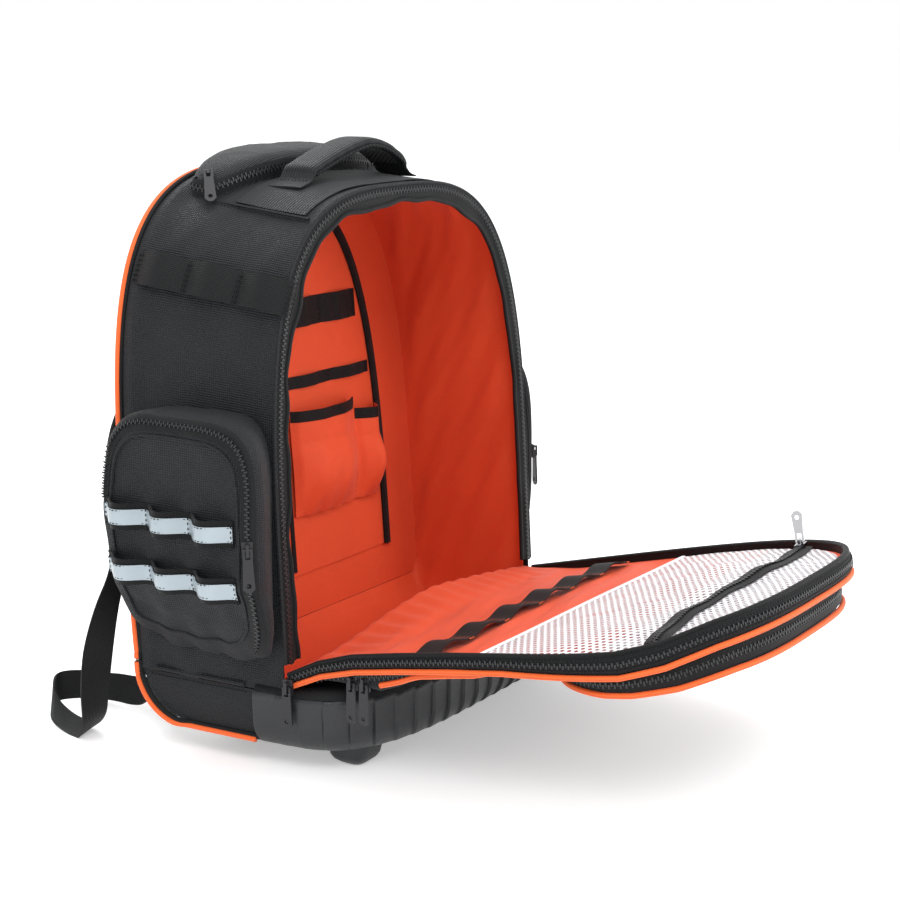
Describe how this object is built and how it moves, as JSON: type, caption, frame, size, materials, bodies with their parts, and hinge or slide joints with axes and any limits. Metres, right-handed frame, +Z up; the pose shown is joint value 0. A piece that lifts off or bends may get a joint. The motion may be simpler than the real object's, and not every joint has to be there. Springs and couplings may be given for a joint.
{
  "type": "tool backpack",
  "caption": "Arched soft-sided tool backpack on a ribbed moulded base, front door unzipped and folded out, with organizer, loops, side pockets and straps.",
  "frame": {"origin": "middle of the bounding box, on the floor", "axes": "+Z up, the opening faces -Y and the door lies out towards -Y, +Y is the wearer's back"},
  "size_m": [0.4704, 0.6372, 0.4913],
  "materials": {
    "black_cordura": "woven, slightly coated",
    "black_ripstop": "fine ripstop weave",
    "orange_lining": "smooth coated weave",
    "orange_piping": "satin",
    "moulded_base": "satin moulded",
    "black_tape": "ribbed tape and coil zip",
    "black_elastic": "ribbed elastic and webbing",
    "reflective_tape": "retroreflective grey",
    "white_mesh": "open hexagonal net",
    "spacer_mesh": "padded air mesh",
    "buckle": "satin",
    "black_metal": "black enamel",
    "bright_metal": "polished"
  },
  "bodies": {
    "bag": {"body_gusset": "black_cordura", "bottom_panel": "black_ripstop", "lining": "orange_lining", "back_panel": "spacer_mesh", "rear_piping": "orange_piping", "opening_zip": "black_tape", "base_boot": "moulded_base", "base_tape": "black_tape", "sill_panel": "black_cordura", "door_zip_rim": "black_tape", "door_panel": "black_cordura", "door_lining": "orange_lining", "door_piping": "orange_piping", "door_pocket": "black_cordura", "door_pocket_piping": "orange_piping", "lower_pocket": "black_cordura", "lower_pocket_piping": "orange_piping", "door_tool_band": "black_elastic", "mesh_pocket": "white_mesh", "mesh_pocket_zip": "black_tape", "side_pocket_left": "black_cordura", "side_pocket_right": "black_cordura", "tool_loops_upper": "black_elastic", "reflective_strip_upper": "reflective_tape", "tool_loops_lower": "black_elastic", "reflective_strip_lower": "reflective_tape", "daisy_chain": "black_elastic", "top_panel": "black_cordura", "top_pocket": "black_cordura", "carry_handle": "black_cordura", "organizer_panel": "orange_lining", "organizer_binding": "black_elastic", "organizer_tape": "black_elastic", "organizer_elastic_upper_left": "black_elastic", "organizer_elastic_upper_right": "black_elastic", "organizer_elastic_lower_left": "black_elastic", "organizer_elastic_lower_right": "black_elastic", "organizer_pockets_left": "orange_lining", "organizer_pockets_right": "orange_lining", "shoulder_strap_left": "spacer_mesh", "ladder_lock_left": "buckle", "strap_webbing_left": "black_elastic", "shoulder_strap_right": "spacer_mesh", "ladder_lock_right": "buckle", "strap_webbing_right": "black_elastic", "zip_slider_opening": "black_metal", "zip_slider_lower_pocket_rear": "black_metal", "zip_slider_lower_pocket_front": "black_metal", "zip_slider_side_pocket_left": "black_metal", "zip_slider_side_pocket_right": "black_metal", "zip_slider_top_pocket": "black_metal", "zip_slider_mesh_pocket": "bright_metal"},
    "pull_opening": {"zip_pull_opening": "black_metal"},
    "pull_lower_pocket_rear": {"zip_pull_lower_pocket_rear": "black_metal"},
    "pull_lower_pocket_front": {"zip_pull_lower_pocket_front": "black_metal"},
    "pull_side_pocket_left": {"zip_pull_side_pocket_left": "black_metal"},
    "pull_side_pocket_right": {"zip_pull_side_pocket_right": "black_metal"},
    "pull_top_pocket": {"zip_pull_top_pocket": "black_metal"},
    "pull_mesh_pocket": {"zip_pull_mesh_pocket": "bright_metal"}
  },
  "joints": [
    {"name": "opening_pull_hinge", "type": "hinge", "parent": "bag", "child": "pull_opening", "pos_m": [-0.1816, 0.0416, 0.076], "axis": [-0.1483, 0.9889, 0], "range_deg": [0, 120]},
    {"name": "lower_pocket_rear_pull_hinge", "type": "hinge", "parent": "bag", "child": "pull_lower_pocket_rear", "pos_m": [-0.1694, -0.0119, 0.087], "axis": [0, 1, 0], "range_deg": [0, 80]},
    {"name": "lower_pocket_front_pull_hinge", "type": "hinge", "parent": "bag", "child": "pull_lower_pocket_front", "pos_m": [-0.1694, -0.0239, 0.088], "axis": [0, 1, 0], "range_deg": [0, 80]},
    {"name": "side_pocket_left_pull_hinge", "type": "hinge", "parent": "bag", "child": "pull_side_pocket_left", "pos_m": [-0.2242, 0.0422, 0.197], "axis": [-0.6605, 0.7505, -0.0225], "range_deg": [0, 140]},
    {"name": "side_pocket_right_pull_hinge", "type": "hinge", "parent": "bag", "child": "pull_side_pocket_right", "pos_m": [0.2118, 0.0515, 0.193], "axis": [-0.5998, -0.7998, 0.024], "range_deg": [0, 140]},
    {"name": "top_pocket_pull_hinge", "type": "hinge", "parent": "bag", "child": "pull_top_pocket", "pos_m": [-0.0987, 0.1786, 0.4676], "axis": [-0.6475, 0.7582, -0.0768], "range_deg": [0, 110]},
    {"name": "mesh_pocket_pull_hinge", "type": "hinge", "parent": "bag", "child": "pull_mesh_pocket", "pos_m": [0.1505, -0.2435, 0.1614], "axis": [-0.1531, 0.9569, -0.2466], "range_deg": [-50, 50]}
  ]
}
